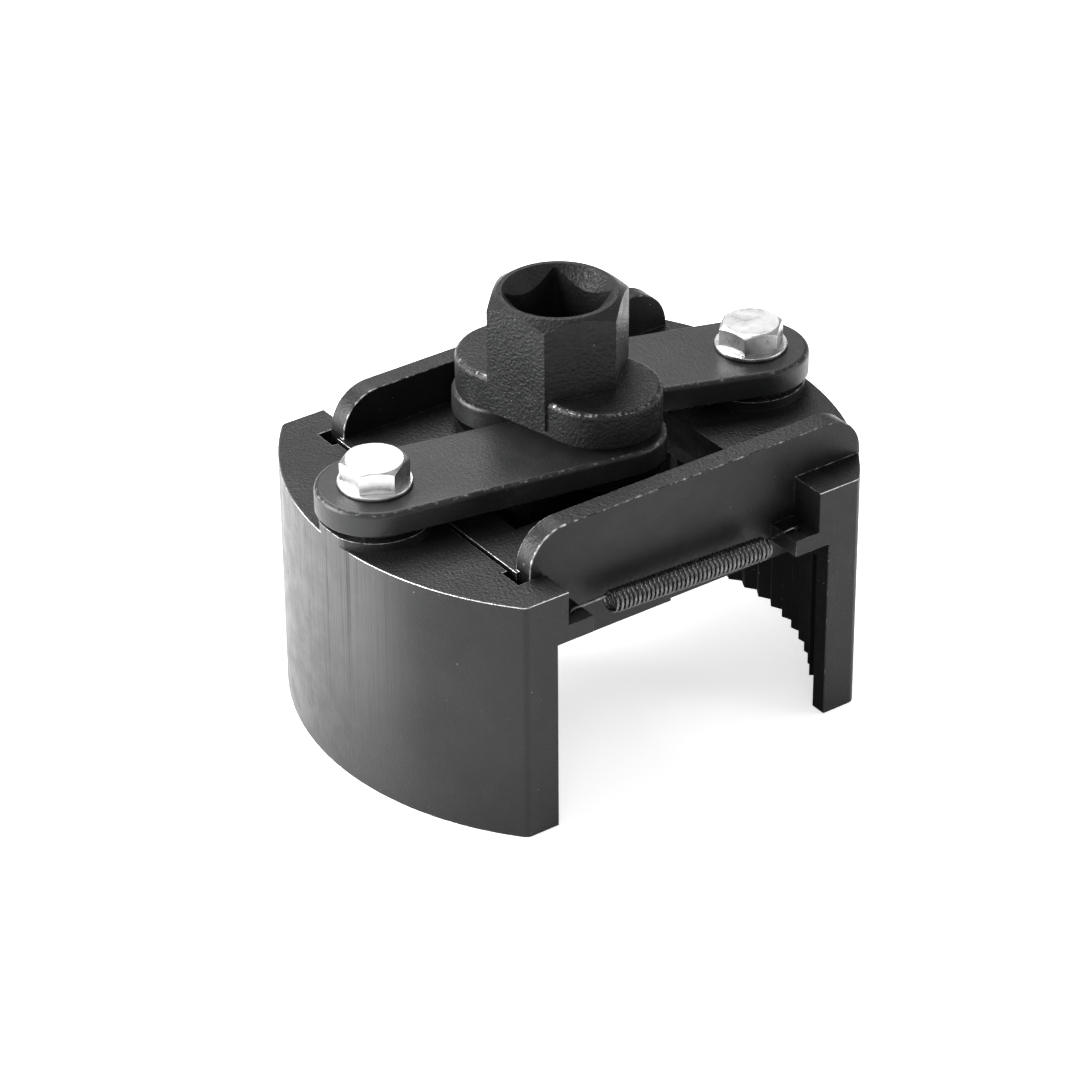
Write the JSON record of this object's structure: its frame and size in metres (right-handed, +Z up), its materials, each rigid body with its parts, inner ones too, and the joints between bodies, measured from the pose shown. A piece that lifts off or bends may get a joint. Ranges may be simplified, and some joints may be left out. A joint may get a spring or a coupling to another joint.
{
  "type": "oil filter wrench",
  "caption": "Self-centring two-jaw oil filter wrench: toothed curved jaws on guide rails, driven by links from a hexagon head with a square socket.",
  "frame": {"origin": "centre of the space between the jaws, on the plane the jaws' lower edges rest on", "axes": "+Z up along the drive, +X along the slide towards the jaw with the deck and rails, -Y to the front spring"},
  "size_m": [0.0948, 0.0698, 0.0722],
  "materials": {
    "black_forging": "black oxide on a pebbled forging, satin, edges worn bright",
    "black_plate": "black oxide on smooth stamped plate, satin, edges worn",
    "bright_zinc": "bright zinc plate, lightly scuffed",
    "spring_steel": "black spring wire, semi-gloss"
  },
  "bodies": {
    "right_jaw": {"right_jaw": "black_forging", "right_bush": "bright_zinc", "right_washer": "bright_zinc", "right_bolt": "bright_zinc", "front_spring": "spring_steel", "rear_spring": "spring_steel"},
    "left_jaw": {"left_jaw": "black_forging", "left_bush": "bright_zinc", "left_washer": "bright_zinc", "left_bolt": "bright_zinc"},
    "slide": {"slide_block": "black_plate", "retainer_plate": "black_plate"},
    "drive": {"drive_head": "black_forging", "lower_crank_plate": "black_plate", "pivot_hub": "black_plate", "front_crank_pin": "black_plate", "rear_crank_pin": "black_plate", "front_spacer": "black_plate", "rear_spacer": "black_plate", "snap_ring": "spring_steel"},
    "left_link": {"left_link": "black_plate"},
    "right_link": {"right_link": "black_plate"}
  },
  "joints": [
    {"name": "jaw_opening", "type": "slide", "parent": "right_jaw", "child": "left_jaw", "axis": [-1, 0, 0], "range_m": [0, 0.02], "stiffness_N_per_m": 300, "springref_m": -0.005, "deforming": ["front_spring", "rear_spring"]},
    {"name": "drive_slide", "type": "slide", "parent": "right_jaw", "child": "slide", "axis": [-1, 0, 0], "range_m": [0, 0.01009]},
    {"name": "drive_turn", "type": "hinge", "parent": "slide", "child": "drive", "pos_m": [0.0001, 0.00275, 0.0455], "axis": [0, 0, -1], "range_deg": [0, 50.27]},
    {"name": "left_link_swing", "type": "hinge", "parent": "left_jaw", "child": "left_link", "pos_m": [-0.0376, 0, 0.04865], "axis": [0, 0, 1], "range_deg": [-0.05, 1.6]},
    {"name": "right_link_swing", "type": "hinge", "parent": "right_jaw", "child": "right_link", "pos_m": [0.0376, 0, 0.04865], "axis": [0, 0, 1], "range_deg": [-0.05, 1.62]}
  ],
  "couplings": [
    {"joint": "drive_slide", "follows": "jaw_opening", "ratio": 0.504},
    {"joint": "drive_turn", "follows": "jaw_opening", "rad_per_m": 43.825},
    {"joint": "left_link_swing", "follows": "jaw_opening", "rad_per_m": 1.3526},
    {"joint": "right_link_swing", "follows": "jaw_opening", "rad_per_m": 1.3701}
  ]
}
